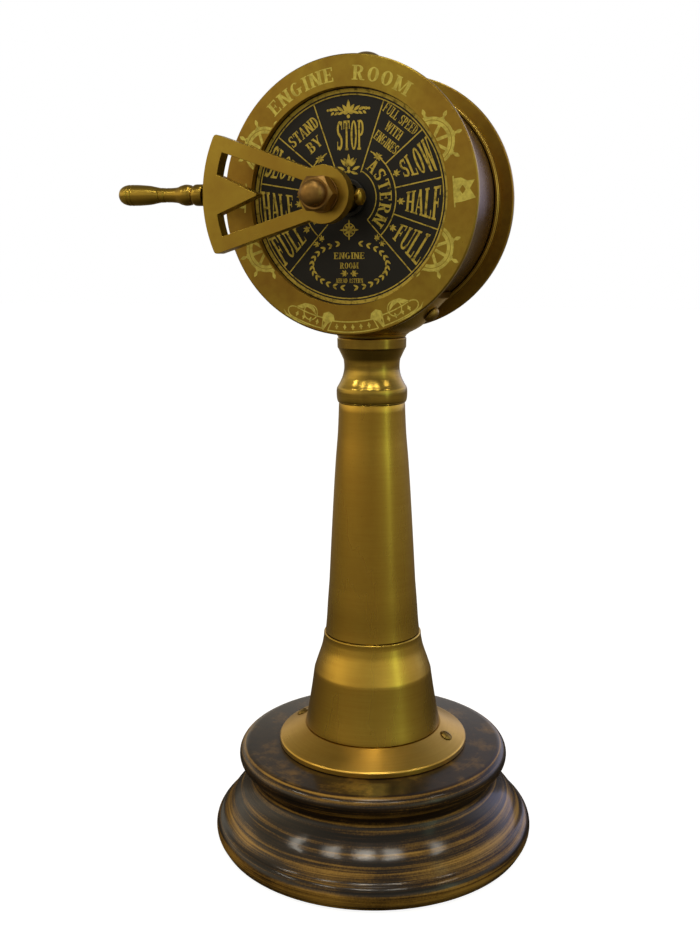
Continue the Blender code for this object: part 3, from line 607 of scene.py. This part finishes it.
def make_pointer(side):
    """The reply pointer: short spear needle, hub and knob tail, on its sleeve."""
    node, slot, place = side + "_pointer", "pointer_brass", lever_place(side)
    how = {"body": side + "_reply"}
    blade = [(-2.2, 4), (2.2, 4), (1.4, 11), (2.8, 12.8), (0, 19.4), (-2.8, 12.8), (-1.4, 11)]
    show(node + "_needle", plate(node + "_blade", [blade], 35.3, 36.9), slot, node, place, 0.3, **how)
    hub = [(5.3, 38.9), (5.6, 38.6), (5.6, 34.0), (5.3, 33.7), (5.2, 33.6), (5.2, 22.8), (4.3, 22.8), (4.3, 38.9)]
    turn(node + "_hub", hub, slot, node, 72, place=place, bevel=0.15, **how)
    tail = smooth(4, (0, 11.2), (1.8, 10.9), (3.1, 10.1), (3.5, 9.0), (3.1, 7.9), (1.9, 7.3))
    tail += [(1.4, 7.1), (1.1, 6.8), (1.1, 4.6), (0, 4.6)]
    down = place @ shift(0, 0, 36.1) @ spin(90, "X")
    turn(node + "_ball", tail, slot, node, 48, False, place=down, **how)


def make_bush(side):
    outline = [(7.6, 28.4), (7.8, 28.2), (7.8, 26.4), (6.8, 26.4), (6.8, 22.0), (6.1, 22.0), (6.1, 28.4)]
    turn(side + "_pointer_bush", outline, "dial_black", side + "_bush", 96, place=face_place(side), bevel=0.12)


def finish_cad_nodes():
    """The CAD pieces that stay as they are get their finish."""
    for entry in frame["record"]["subparts"]:
        node = frame["nodes"][entry["node"]]
        node.data.materials.clear()
        node.data.materials.append(LOOKS[entry["material_slot"]])


# ---------------------------------------------------------------- print

# The thick stroke, the thin stroke and the serif of a capital one unit high.
STEM, THIN, SERIF = 0.17, 0.08, 0.07


def box(x0, x1, y0, y1):
    return [(x0, y0), (x1, y0), (x1, y1), (x0, y1)]


def foot(x0, x1):
    return box(x0, x1, 0, SERIF)


def top(x0, x1, depth=SERIF):
    return box(x0, x1, 1 - depth, 1)


def stem(x, cap=True):
    """An upright stroke with slab serifs, as one outline."""
    thin, wide = STEM / 2, STEM / 2 + 0.075
    side = [(wide, 0), (wide, SERIF), (thin, SERIF)]
    side += [(thin, 1 - SERIF), (wide, 1 - SERIF), (wide, 1)] if cap else [(thin, 1)]
    return [(x + w, y) for w, y in side] + [(x - w, y) for w, y in side[::-1]]


def slant(x0, y0, x1, y1, t):
    return [(x0 - t / 2, y0), (x0 + t / 2, y0), (x1 + t / 2, y1), (x1 - t / 2, y1)]


def bowl(x, y, rx, ry, start, end, tx=STEM, ty=THIN):
    """A curved stroke, thick at its sides and thin at its top and bottom."""
    steps = max(4, round(abs(end - start) / 18))
    turns = [math.radians(start + (end - start) * i / steps) for i in range(steps + 1)]
    outer = [(x + rx * math.cos(a), y + ry * math.sin(a)) for a in turns]
    inner = [(x + (rx - tx) * math.cos(a), y + (ry - ty) * math.sin(a)) for a in turns]
    return outer + inner[::-1]


ARMS = [stem(0.12), top(0.12, 0.5, THIN), box(0.44, 0.5, 0.74, 1), box(0.12, 0.36, 0.48, 0.55),
        box(0.34, 0.39, 0.38, 0.65)]
LOOP = [stem(0.12), bowl(0.25, 0.73, 0.28, 0.27, -90, 90), box(0.12, 0.26, 0.46, 0.46 + THIN),
        top(0.12, 0.26, THIN)]
# Each capital's width and outlines.
LETTERS = {
    "A": (0.6, [slant(0.06, 0, 0.27, 1, THIN), slant(0.51, 0, 0.29, 1, STEM), box(0.14, 0.42, 0.27, 0.34),
                foot(-0.06, 0.18), foot(0.36, 0.66)]),
    "B": (0.56, [stem(0.12), bowl(0.25, 0.74, 0.25, 0.26, -90, 90), bowl(0.25, 0.28, 0.3, 0.28, -90, 90),
                 box(0.12, 0.26, 0, THIN), box(0.12, 0.26, 0.49, 0.56), top(0.12, 0.26, THIN)]),
    "D": (0.58, [stem(0.12), bowl(0.22, 0.5, 0.34, 0.5, -90, 90), box(0.12, 0.23, 0, THIN), top(0.12, 0.23, THIN)]),
    "E": (0.55, ARMS + [box(0.12, 0.52, 0, THIN), box(0.46, 0.52, 0, 0.26)]),
    "F": (0.55, ARMS),
    "G": (0.62, [bowl(0.29, 0.5, 0.29, 0.5, 50, 325), box(0.38, 0.55, 0.08, 0.44), box(0.32, 0.62, 0.42, 0.49)]),
    "H": (0.62, [stem(0.12), stem(0.5), box(0.12, 0.5, 0.46, 0.54)]),
    "I": (0.26, [stem(0.13)]),
    "L": (0.54, [stem(0.12), box(0.12, 0.52, 0, THIN), box(0.46, 0.52, 0, 0.28)]),
    "M": (0.82, [stem(0.12), stem(0.7), slant(0.4, 0.06, 0.16, 0.98, 0.13), slant(0.4, 0.06, 0.62, 0.98, 0.07)]),
    "N": (0.64, [stem(0.1), stem(0.54), slant(0.5, 0, 0.14, 1, 0.15)]),
    "O": (0.58, [bowl(0.29, 0.5, 0.29, 0.5, 0, 180), bowl(0.29, 0.5, 0.29, 0.5, 180, 360)]),
    "P": (0.54, LOOP),
    "R": (0.62, LOOP + [slant(0.5, 0, 0.3, 0.5, STEM), foot(0.4, 0.66)]),
    "S": (0.53, [bowl(0.26, 0.73, 0.26, 0.27, 40, 290, STEM, 0.11),
                 bowl(0.26, 0.27, 0.26, 0.27, -140, 110, STEM, 0.11),
                 box(0.42, 0.48, 0.7, 0.98), box(0.03, 0.09, 0.02, 0.3)]),
    "T": (0.56, [stem(0.28, False), top(0, 0.56, THIN), box(0, 0.06, 0.72, 1), box(0.5, 0.56, 0.72, 1)]),
    "U": (0.62, [top(-0.02, 0.26), top(0.42, 0.64), box(0.03, 0.2, 0.27, 1), box(0.5, 0.57, 0.27, 1),
                 bowl(0.3, 0.28, 0.27, 0.28, 180, 360, 0.13, 0.1)]),
    "W": (0.86, [top(-0.04, 0.24), top(0.36, 0.6), top(0.72, 0.9), slant(0.26, 0, 0.1, 1, STEM),
                 slant(0.28, 0, 0.46, 1, THIN), slant(0.6, 0, 0.46, 1, STEM), slant(0.63, 0, 0.8, 1, THIN)]),
    "Y": (0.58, [top(-0.06, 0.2), top(0.42, 0.64), foot(0.2, 0.42), slant(0.29, 0.42, 0.07, 1, STEM),
                 slant(0.32, 0.42, 0.52, 1, THIN), box(0.22, 0.39, 0, 0.46)]),
    " ": (0.3, []),
}


def words(text, gap=0.09):
    """(total width, outlines) of a line of capitals."""
    at, out = 0.0, []
    for mark in text:
        width, shapes = LETTERS[mark]
        out += [[(x + at, y) for x, y in shape] for shape in shapes]
        at += width + gap
    return at - gap, out


class Ink:
    """Flat printed shapes on a plane, each a hair above the last so that crossings don't flicker."""

    def __init__(self, height):
        self.height = height
        self.shape = bmesh.new()
        self.count = 0

    def add(self, points):
        area = sum(a[0] * b[1] - b[0] * a[1] for a, b in zip(points, points[1:] + points[:1]))
        z = self.height + (self.count % 6) * 0.005
        self.count += 1
        points = points[::-1] if area < 0 else points
        self.shape.faces.new([self.shape.verts.new((x * MM, y * MM, z * MM)) for x, y in points])

    def mesh(self, name):
        self.shape.normal_update()
        bmesh.ops.triangulate(self.shape, faces=self.shape.faces)
        return written(self.shape, bpy.data.meshes.new(name))

    def line(self, a, b, width):
        x, y = (Vector(b) - Vector(a)).normalized() * width / 2
        self.add([(a[0] + y, a[1] - x), (b[0] + y, b[1] - x), (b[0] - y, b[1] + x), (a[0] - y, a[1] + x)])

    def spoke(self, angle, r0, r1, width):
        self.line(polar(angle, r0), polar(angle, r1), width)

    def band(self, r0, r1, start=0.0, end=360.0, centre=(0, 0)):
        """A ring, or part of one."""
        start, end = sorted((start, end))
        pieces = max(1, math.ceil((end - start) / 90))
        for k in range(pieces):
            a0, a1 = (start + (end - start) * (k + j) / pieces for j in (0, 1))
            steps = max(3, round((a1 - a0) / 4))
            turns = [polar(a0 + (a1 - a0) * i / steps) for i in range(steps + 1)]
            outer = [(centre[0] + r1 * s, centre[1] + r1 * c) for s, c in turns]
            inner = [(centre[0] + r0 * s, centre[1] + r0 * c) for s, c in turns]
            self.add(outer + inner[::-1])

    def disc(self, x, y, r, count=10):
        self.add(arc(x, y, r, 0, 360, count)[:-1])

    def leaf(self, x, y, angle, length, width):
        """A pointed leaf from (x, y)."""
        s, c = polar(angle)
        points = []
        for t, w in ((0, 0), (0.25, 0.8), (0.5, 1), (0.8, 0.6), (1, 0), (0.8, -0.6), (0.5, -1), (0.25, -0.8)):
            u, v = t * length, w * width / 2
            points.append((x + s * u + c * v, y + c * u - s * v))
        self.add(points)

    def sprig(self, x, y, angle, size):
        """A small ornament: five leaves and a bead."""
        for fan, length in ((0, 1.0), (38, 0.8), (-38, 0.8), (80, 0.55), (-80, 0.55)):
            self.leaf(x, y, angle + fan, size * length, size * 0.3)
        s, c = polar(angle + 180, size * 0.25)
        self.disc(x + s, y + c, size * 0.14)

    def text(self, text, place, gap=0.09):
        """Letters laid out by a function of the place along the line and across it, both from 0 to 1."""
        total, shapes = words(text, gap)
        for shape in shapes:
            self.add([place(u / total, v) for u, v in shape])

    def straight(self, text, x, y, width, height, angle=0.0):
        """A line of text centred on (x, y), turned clockwise by the angle."""
        s, c = polar(angle)

        def place(u, v):
            p, q = (u - 0.5) * width, (v - 0.5) * height
            return x + p * c + q * s, y - p * s + q * c

        self.text(text, place)

    def fan(self, text, angle, r0, r1, h0, h1):
        """Text along a radius, its letters growing outwards, upright as seen from below the dial."""
        s, c = polar(angle)
        flip = 1 if s > 0 else -1

        def place(u, v):
            t = u if s > 0 else 1 - u
            out, up = r0 + (r1 - r0) * t, flip * (v - 0.5) * (h0 + (h1 - h0) * t)
            return s * out - c * up, c * out + s * up

        self.text(text, place)

    def round(self, text, r, height, start, end, gap):
        """Text along a circle, its tops outwards."""
        self.text(text, lambda u, v: polar(start + (end - start) * u, r + v * height), gap)

    def wheel(self, x, y):
        """A ship's wheel of eight spokes."""
        self.band(8.4, 9.6, centre=(x, y))
        self.band(6.8, 8.15, centre=(x, y))
        for k in range(8):
            angle = k * 45 + 27.5
            s, c = polar(angle)
            self.line((x + 1.5 * s, y + 1.5 * c), (x + 7.2 * s, y + 7.2 * c), 1.25)
            self.line((x + 9.3 * s, y + 9.3 * c), (x + 11.4 * s, y + 11.4 * c), 0.9)
            self.leaf(x + 10.3 * s, y + 10.3 * c, angle, 2.9, 1.6)
            self.line((x + 9.7 * s - c, y + 9.7 * c + s), (x + 9.7 * s + c, y + 9.7 * c - s), 0.5)

    def diamond(self, angle, r):
        for heading, length in ((0, 1.25), (180, 1.25), (90, 0.85), (-90, 0.85)):
            self.leaf(*polar(angle, r), angle + heading, length, 0.75)


def clipped(mesh, inner, outer, angles):
    """Trims a flat print to the ring between two radii, near the given angles."""
    shape = bmesh.new()
    shape.from_mesh(mesh)
    for angle in (middle + 3 * step for middle in angles for step in range(-6, 7)):
        out = Vector((*polar(angle), 0))
        for radius, clear in ((outer * MM, True), (inner * MM, False)):
            everything = shape.verts[:] + shape.edges[:] + shape.faces[:]
            bmesh.ops.bisect_plane(shape, geom=everything, plane_co=out * radius, plane_no=out, clear_outer=clear)
    gone = [face for face in shape.faces if face.calc_center_median().xy.length < inner * MM]
    bmesh.ops.delete(shape, geom=gone, context="FACES")
    return written(shape, mesh)


def dial_print():
    ink = Ink(DIAL_FACE + 0.03)
    ink.band(41.25, 41.75)
    for side in (1, -1):
        ink.line((side * 5.4, 10.3), (side * 15.6, 38.3), 0.5)
        for angle in (51, 80, 109, 137.5):
            ink.spoke(side * angle, 20.9, 41.3, 0.5)
        ink.band(20.7, 21.2, side * 28, side * 137.5)
        ink.band(12.0, 12.45, side * 28, side * 137.5)
        ink.spoke(side * 137.5, 12.2, 21, 0.45)
        for angle in (66, 94.5, 122.5):
            ink.sprig(*polar(side * angle, 22.6), side * angle, 2.6)
        ink.sprig(side * 12.9, 16.4, side * 118, 2.6)
        ink.sprig(side * 13.2, 16.2, side * -62, 2.6)
        ink.sprig(side * 12.5, -16.9, side * 10, 2.3)
        ink.sprig(side * 14.4, -18.6, side * 100, 2.3)
    ink.straight("STOP", 0.8, 25.3, 12.0, 11.8)
    ink.straight("STAND", -20.5, 27.6, 15.2, 4.9, -36)
    ink.straight("BY", -15.6, 22.3, 6.6, 4.6, -36)
    ink.straight("FULL SPEED", 23.0, 30.7, 17.2, 3.9, 37.5)
    ink.straight("WITH", 20.0, 26.2, 8.2, 3.9, 37.5)
    ink.straight("ENGINES", 16.7, 21.8, 11.8, 3.9, 37.5)
    for side in (1, -1):
        ink.fan("SLOW", side * 65.5, 25.6, 40.3, 6.6, 14.6)
        ink.fan("HALF", side * 94.5, 25.6, 40.3, 7.6, 14.4)
        ink.fan("FULL", side * 123, 25.6, 40.3, 7.0, 14.2)
    ink.round("ASTERN", 13.9, 5.3, 34, 131, 0.16)
    ink.round("AHEAD", 13.9, 5.3, -129, -36, 0.16)
    ink.sprig(0, 34.2, 0, 5.4)
    for side in (1, -1):
        for k in range(3):
            ink.leaf(side * (2.2 + 2.2 * k), 35.0 + 0.4 * k, side * (58 + 18 * k), 3.6 - 0.5 * k, 1.25)
            ink.leaf(side * (2.0 + 2.2 * k), 34.8, side * (112 + 8 * k), 3.0 - 0.5 * k, 1.05)
        ink.disc(side * 9.2, 35.6, 0.55)
        ink.leaf(side * 0.8, 12.6, side * 40, 4.4, 1.3)
        ink.leaf(side * 1.6, 11.4, side * 68, 3.8, 1.3)
        ink.leaf(side * 0.6, 10.8, side * 108, 3.8, 1.2)
    ink.sprig(0, 13.4, 0, 4.6)
    ink.disc(0, 10.9, 0.8, 12)
    compass(ink, 0, -13.0, 4.4)
    steps, wide, high = 13, 17.2, 9.4
    for side in (1, -1):
        for k in range(steps):
            s, c = polar(14 + 152 * k / (steps - 1))
            heading = math.degrees(math.atan2(side * wide * c, -high * s))
            for fan in (28, -28):
                ink.leaf(side * wide * s, -27.6 + high * c, heading + fan, 2.5, 0.95)
    ink.straight("ENGINE", 0, -23.6, 14.0, 2.7)
    ink.straight("ROOM", 0, -27.7, 8.4, 2.5)
    ink.sprig(1.6, -31.0, 90, 2.6)
    ink.sprig(-1.6, -31.0, -90, 2.6)
    ink.straight("AHEAD ASTERN", 0, -34.0, 12.4, 1.9)
    return ink.mesh("dial_print_mesh")


def compass(ink, x, y, size):
    """A compass rose of eight points in a ring."""
    for k in range(8):
        ink.leaf(x, y, 45 * k, size * (1.0 if k % 2 == 0 else 0.66), size * 0.24)
    ink.band(size * 0.56, size * 0.64, centre=(x, y))


def plate_print():
    """Wheels, pennants, the arc of letters and the ribbon, all inside the plate's border."""
    wheels = Ink(PLATE_FACE + 0.02)
    for angle in (61, 119, -61, -119):
        wheels.wheel(*polar(angle, 42.7))
    rest = Ink(PLATE_FACE + 0.022)
    rest.round("ENGINE", 46.7, 5.7, -43, -6, 0.14)
    rest.round("ROOM", 46.7, 5.7, 4, 34, 0.16)
    for side in (1, -1):
        rest.line((side * 46.4, 7.2), (side * 47.3, -5.0), 0.6)
        edge = [(46.7, 6.2), (49.6, 6.5), (52.4, 5.2), (55.4, 5.6), (53.4, 2.2), (55.9, -1.4), (52.8, -2.2)]
        edge = [(side * x, y) for x, y in edge + [(50.2, -2.9), (47.2, -3.3)]]
        mark = [(side * x, y) for x, y in ((50.4, 3.7), (51.7, 1.9), (50.4, 0.1), (49.1, 1.9))]
        rest.add([edge[0], edge[1], mark[0], mark[3], mark[2], edge[7], edge[8]])
        rest.add(edge[1:8] + [mark[2], mark[1], mark[0]])
    ribbon(rest)
    return clipped(wheels.mesh("plate_wheels"), 44.7, 56.4, (61, 119, 241, 299)), rest.mesh("plate_marks")


def ribbon(ink):
    """A three-part ribbon round the bottom of the plate, with folds, curled ends and rows of diamonds."""
    middle = 176.9
    ink.band(55.3, 55.8, middle - 12.2, middle + 12.2)
    ink.band(51.0, 51.5, middle - 10.6, middle + 10.6)
    for side in (1, -1):
        def at(*places):
            return [polar(middle + side * angle, r) for angle, r in places]

        ink.line(*at((10.6, 51.1), (12.2, 55.7)), 0.5)
        ink.add(at((9.2, 50.9), (10.2, 48.7), (13.0, 47.6), (15.6, 48.8), (16.0, 51.0), (13.4, 53.4), (10.9, 51.6)))
        ink.line(*at((13.2, 52.4), (14.9, 55.6)), 1.3)
        ink.band(50.5, 51.0, middle + side * 15.4, middle + side * 30)
        ink.band(55.0, 55.5, middle + side * 15.0, middle + side * 31)
        ink.line(*at((15.4, 50.6), (15.0, 55.4)), 0.5)
        turns = [polar(22.5 * k) for k in range(9)]
        curled = at(*((30.4 + 3.4 * s, 53.0 + 2.25 * c) for s, c in turns))
        for a, b in zip(curled, curled[1:]):
            ink.line(a, b, 0.5)
        ink.band(2.9, 3.35, centre=at((22.5, 50.2))[0])
        ink.add(at((19.4, 50.4), (20.6, 48.4), (23.4, 46.8), (27.0, 47.4), (30.6, 50.4), (27.4, 50.2),
                   (25.4, 48.6), (22.6, 48.9)))
        ink.add(at((20.5, 55.9), (27, 55.7), (33.4, 55.4), (36.0, 54.4), (33.5, 56.2), (27, 56.35)))
        for k in range(4):
            ink.diamond(middle + side * (18.0 + 3.6 * k), 53.1)
    for k in range(-2, 3):
        ink.diamond(middle + 4.0 * k, 53.4)


def make_prints():
    for side in ("front", "rear"):
        dial, place = side + "_dial", face_place(side)
        show(dial + "_print", dial_print(), "dial_black", dial, place, look="dial_print")
        rim = Ink(DIAL_FACE + 0.03)
        rim.band(42.4, 43.85)
        show(dial + "_rim", rim.mesh(dial + "_rim"), "dial_black", dial, place, look="dial_print")
        both = bmesh.new()
        for mesh in plate_print():
            both.from_mesh(mesh)
        mesh = written(both, bpy.data.meshes.new(side + "_plate_print"))
        show(side + "_plate_print", mesh, "plate_brass", side + "_plate", place, look="plate_print")


# ---------------------------------------------------------------- camera, light and floor

def make_stage():
    """A plain pale floor. Reflections see it darker, with painted shade that deepens near the object."""
    half, low = 6.0, -0.0002
    mesh = bpy.data.meshes.new("floor")
    mesh.from_pydata([(x * half, y * half, low) for x, y in ((-1, -1), (1, -1), (1, 1),
                                                             (-1, 1))], [], [(0, 1, 2, 3)])
    n = Nodes("pale_floor", bare=True)
    reach = n.node("VectorMath", n.coords, operation="LENGTH").outputs["Value"]
    # Painted shade: the floor that reflections and bounced light see darkens towards the object.
    shade_near_object = n.ramp(reach, (0.10, (0.035, 0.031, 0.024)), (0.45, (0.24, 0.215, 0.165)), (1.0, (0.58, 0.53, 0.42)))
    glow = n.put(n.node("Emission"), Strength=0.90)
    pale = n.node("BsdfDiffuse", (0.40, 0.40, 0.40, 1))
    seen = n.node("AddShader", glow.outputs[0], pale.outputs[0])
    n.split(n.node("BsdfDiffuse", shade_near_object), seen, "OutputMaterial")
    mesh.materials.append(n.owner)
    floor = linked("floor", mesh)


def toward(azimuth, elevation):
    """The direction out to a light. Azimuth 0 is in front of the object and 90 is on its right."""
    a, e = math.radians(azimuth), math.radians(elevation)
    return Vector((math.sin(a) * math.cos(e), -math.cos(a) * math.cos(e), math.sin(e)))


def make_world():
    """White to the eye; reflections see a dim warm room, brighter just above the horizon and on three sides."""
    n = Nodes("studio", world=True, bare=True)
    bpy.context.scene.world = n.owner
    height = n.node("SeparateXYZ", n.coords).outputs["Z"]
    levels = ((0.494, 0.24), (0.506, 0.40), (0.55, 0.45), (0.58, 0.78), (0.66, 0.72), (0.70, 0.32),
              (0.85, 0.22), (1.0, 0.08))
    stops = [(position, (level, level * 0.90, level * 0.72)) for position, level in levels]
    total = n.ramp(n.math("MULTIPLY_ADD", height, 0.5, 0.5), *stops)
    for azimuth, elevation, sharp, colour, blend in (
        (-60, 10, 5.0, (0.52, 0.40, 0.22), "ADD"),
        (150, 4, 5.0, (0.42, 0.48, 0.95), "ADD"),
        (70, 4, 24.0, (0.34, 0.55, 0.28), "ADD"),
        (22, -2, 30.0, (0.26, 0.24, 0.19), "MIX"),
    ):
        dot = n.node("VectorMath", n.coords, toward(azimuth, elevation), operation="DOT_PRODUCT")
        lobe = n.math("POWER", n.math("MAXIMUM", dot.outputs["Value"], 0.0), sharp)
        total = n.mix(lobe, total, colour, blend)
    n.split(n.node("Background", total), n.node("Background", (1, 1, 1, 1)), "OutputWorld")


def softbox(name, azimuth, elevation, distance, width, height, power, colour, shape="ELLIPSE"):
    """A flat light, placed round the object and turned towards its middle."""
    data = bpy.data.lights.new(name, "AREA")
    data.shape = shape
    data.size = width
    data.size_y = height
    data.energy = power
    data.color = colour
    light = linked(name, data)
    back = toward(azimuth, elevation)
    light.location = Vector((0, 0, 0.2)) + back * distance
    light.rotation_mode = "QUATERNION"
    light.rotation_quaternion = (-back).to_track_quat("-Z", "Y")


def make_lights():
    """Small ceiling lamps, a ceiling panel and a tall narrow light on the right."""
    warm = (1.0, 0.93, 0.80)
    lamps = ((-50, 35.5, 0.9), (-19.5, 46, 1.1), (12.4, 51, 1.9), (41, 49.2, 1.2), (83.2, 40, 0.8))
    for number, (azimuth, elevation, power) in enumerate(lamps):
        softbox("ceiling_lamp_%d" % (number + 1), azimuth, elevation, 1.41, 0.34, 0.045, power, warm)
    softbox("ceiling_panel", 21, 80, 1.6, 0.5, 0.4, 4.2, warm)
    softbox("right_strip", 72, 4, 1.1, 0.16, 1.0, 0.33, (0.74, 1.0, 0.66), "RECTANGLE")


def make_camera():
    """A camera at the photograph's viewing angle: in front, a little to the right and looking down."""
    data = bpy.data.cameras.new("camera")
    data.lens = 41.2
    data.sensor_width = 36.0
    data.clip_start = 0.01
    camera = linked("camera", data)
    forward = Vector((-0.37573, 0.90741, -0.18824)).normalized()
    right = Vector((0.92434, 0.38151, -0.00591)).normalized()
    up = right.cross(forward).normalized()
    right = forward.cross(up)
    turned = Matrix((right, up, -forward)).transposed().to_4x4()
    camera.matrix_world = shift(177.6, -455.6, 271.3) @ turned
    bpy.context.scene.camera = camera
    bpy.context.scene.view_settings.view_transform = "Standard"


def main():
    finish_cad_nodes()
    make_base()
    make_flange()
    make_column()
    make_screws()
    make_saddle()
    make_drum()
    for side in ("front", "rear"):
        make_plate(side)
        make_bush(side)
        make_pointer(side)
        make_lever(side)
        make_cap_nut(side)
    make_prints()
    make_stage()
    make_world()
    make_lights()
    make_camera()


main()
